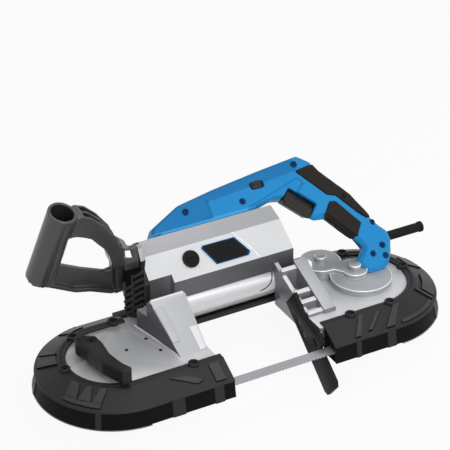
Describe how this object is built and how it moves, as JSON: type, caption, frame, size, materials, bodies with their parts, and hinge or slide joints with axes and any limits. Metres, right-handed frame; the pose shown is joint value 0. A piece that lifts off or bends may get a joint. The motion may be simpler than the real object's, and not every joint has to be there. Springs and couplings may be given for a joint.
{
  "type": "portable metal band saw",
  "caption": "Hand-held corded metal band saw with two guarded blade wheels, a deep throat, a slanted motor body, a switch handle and a front loop handle.",
  "frame": {"origin": "under the middle of the whole saw, at the level of its lowest point, the tip of the work stop", "axes": "+X along the blade from the idler wheel to the drive wheel, +Y away from the cutting edge, +Z along the wheel axes towards the motor side"},
  "size_m": [0.5075, 0.225, 0.2472],
  "materials": {
    "cast_aluminium": "satin cast and brushed aluminium",
    "black_plastic": "fine-grained black plastic",
    "blue_plastic": "satin blue plastic",
    "steel": "plain steel",
    "tyre_rubber": "black rubber",
    "soft_grip": "soft black grip",
    "blade_steel": "ground blade steel",
    "laminated_iron": "stacked iron sheets",
    "bright_cap": "bright turned metal"
  },
  "bodies": {
    "saw_body": {"main_frame": "cast_aluminium", "motor_housing": "cast_aluminium", "motor_end_cap": "black_plastic", "brush_caps": "black_plastic", "badge_plate": "black_plastic", "rear_guard": "black_plastic", "idler_guard": "black_plastic", "drive_guard": "black_plastic", "guard_trims": "steel", "guard_screws": "steel", "gear_cover": "cast_aluminium", "gear_cover_caps": "bright_cap", "handle_shell_near": "blue_plastic", "handle_shell_far": "blue_plastic", "grip_back": "soft_grip", "grip_sides": "soft_grip", "handle_screws": "steel", "switch_body": "black_plastic", "cord_sleeve": "tyre_rubber", "front_handle": "black_plastic", "front_handle_screws": "steel", "stop_plate": "black_plastic", "stop_plate_screws": "steel", "blade": "blade_steel", "drive_bearings": "steel", "idler_guide_bracket": "steel", "drive_guide_bracket": "steel", "stator": "laminated_iron", "motor_bearings": "steel"},
    "drive_set": {"drive_wheel": "cast_aluminium", "drive_tyre": "tyre_rubber", "drive_shaft": "steel", "drive_gear": "steel"},
    "pinion_set": {"pinion_shaft": "steel"},
    "armature_set": {"armature": "laminated_iron"},
    "lever_set": {"tension_lever": "black_plastic", "lever_screw": "steel"},
    "carriage_set": {"idler_carriage": "steel", "idler_axle": "steel"},
    "idler_set": {"idler_wheel": "cast_aluminium", "idler_tyre": "tyre_rubber", "idler_bearings": "steel"},
    "trigger_set": {"trigger": "black_plastic"},
    "dial_set": {"speed_dial": "black_plastic"},
    "idler_guide_upper_roller_set": {"idler_guide_upper_roller": "steel"},
    "idler_guide_lower_roller_set": {"idler_guide_lower_roller": "steel"},
    "idler_guide_back_roller_set": {"idler_guide_back_roller": "steel"},
    "drive_guide_upper_roller_set": {"drive_guide_upper_roller": "steel"},
    "drive_guide_lower_roller_set": {"drive_guide_lower_roller": "steel"},
    "drive_guide_back_roller_set": {"drive_guide_back_roller": "steel"}
  },
  "joints": [
    {"name": "drive_spin", "type": "hinge", "parent": "saw_body", "child": "drive_set", "pos_m": [0.15025, -0.00923, 0.0534], "axis": [0, 0, 1], "continuous": true},
    {"name": "pinion_spin", "type": "hinge", "parent": "saw_body", "child": "pinion_set", "pos_m": [0.12081, 0.03205, 0.0714], "axis": [0, 0, 1], "continuous": true},
    {"name": "armature_spin", "type": "hinge", "parent": "saw_body", "child": "armature_set", "pos_m": [-0.00625, 0.06877, 0.1044], "axis": [1, 0, 0], "continuous": true},
    {"name": "lever_turn", "type": "hinge", "parent": "saw_body", "child": "lever_set", "pos_m": [-0.18575, -0.00223, 0.0714], "axis": [0, 0, -1], "range_deg": [0, 170]},
    {"name": "carriage_slide", "type": "slide", "parent": "saw_body", "child": "carriage_set", "axis": [1, 0, 0], "range_m": [0, 0.006]},
    {"name": "idler_spin", "type": "hinge", "parent": "carriage_set", "child": "idler_set", "pos_m": [-0.16275, -0.00923, 0.0534], "axis": [0, 0, 1], "continuous": true},
    {"name": "trigger_pull", "type": "slide", "parent": "saw_body", "child": "trigger_set", "axis": [0.7314, 0.4822, 0.4822], "range_m": [0, 0.007], "stiffness_N_per_m": 500, "springref_m": -0.002},
    {"name": "dial_turn", "type": "hinge", "parent": "saw_body", "child": "dial_set", "pos_m": [0.06375, 0.08708, 0.17025], "axis": [0, 0.7071, 0.7071], "range_deg": [0, 270]},
    {"name": "idler_guide_upper_spin", "type": "hinge", "parent": "saw_body", "child": "idler_guide_upper_roller_set", "pos_m": [-0.07225, -0.08623, 0.05659], "axis": [0, 1, 0], "continuous": true},
    {"name": "idler_guide_lower_spin", "type": "hinge", "parent": "saw_body", "child": "idler_guide_lower_roller_set", "pos_m": [-0.07225, -0.08623, 0.04721], "axis": [0, 1, 0], "continuous": true},
    {"name": "idler_guide_back_spin", "type": "hinge", "parent": "saw_body", "child": "idler_guide_back_roller_set", "pos_m": [-0.08525, -0.07843, 0.0534], "axis": [0, 0, 1], "continuous": true},
    {"name": "drive_guide_upper_spin", "type": "hinge", "parent": "saw_body", "child": "drive_guide_upper_roller_set", "pos_m": [0.07375, -0.08623, 0.05659], "axis": [0, 1, 0], "continuous": true},
    {"name": "drive_guide_lower_spin", "type": "hinge", "parent": "saw_body", "child": "drive_guide_lower_roller_set", "pos_m": [0.07375, -0.08623, 0.04721], "axis": [0, 1, 0], "continuous": true},
    {"name": "drive_guide_back_spin", "type": "hinge", "parent": "saw_body", "child": "drive_guide_back_roller_set", "pos_m": [0.08675, -0.07843, 0.0534], "axis": [0, 0, 1], "continuous": true}
  ],
  "couplings": [
    {"joint": "pinion_spin", "follows": "drive_spin", "ratio": -1.6},
    {"joint": "armature_spin", "follows": "drive_spin", "ratio": 12},
    {"joint": "idler_spin", "follows": "drive_spin", "ratio": 1},
    {"joint": "lever_turn", "follows": "carriage_slide", "rad_per_m": 494.5},
    {"joint": "idler_guide_upper_spin", "follows": "drive_spin", "ratio": -23.429},
    {"joint": "idler_guide_lower_spin", "follows": "drive_spin", "ratio": 23.429},
    {"joint": "idler_guide_back_spin", "follows": "drive_spin", "ratio": 23.429},
    {"joint": "drive_guide_upper_spin", "follows": "drive_spin", "ratio": -23.429},
    {"joint": "drive_guide_lower_spin", "follows": "drive_spin", "ratio": 23.429},
    {"joint": "drive_guide_back_spin", "follows": "drive_spin", "ratio": 23.429}
  ]
}
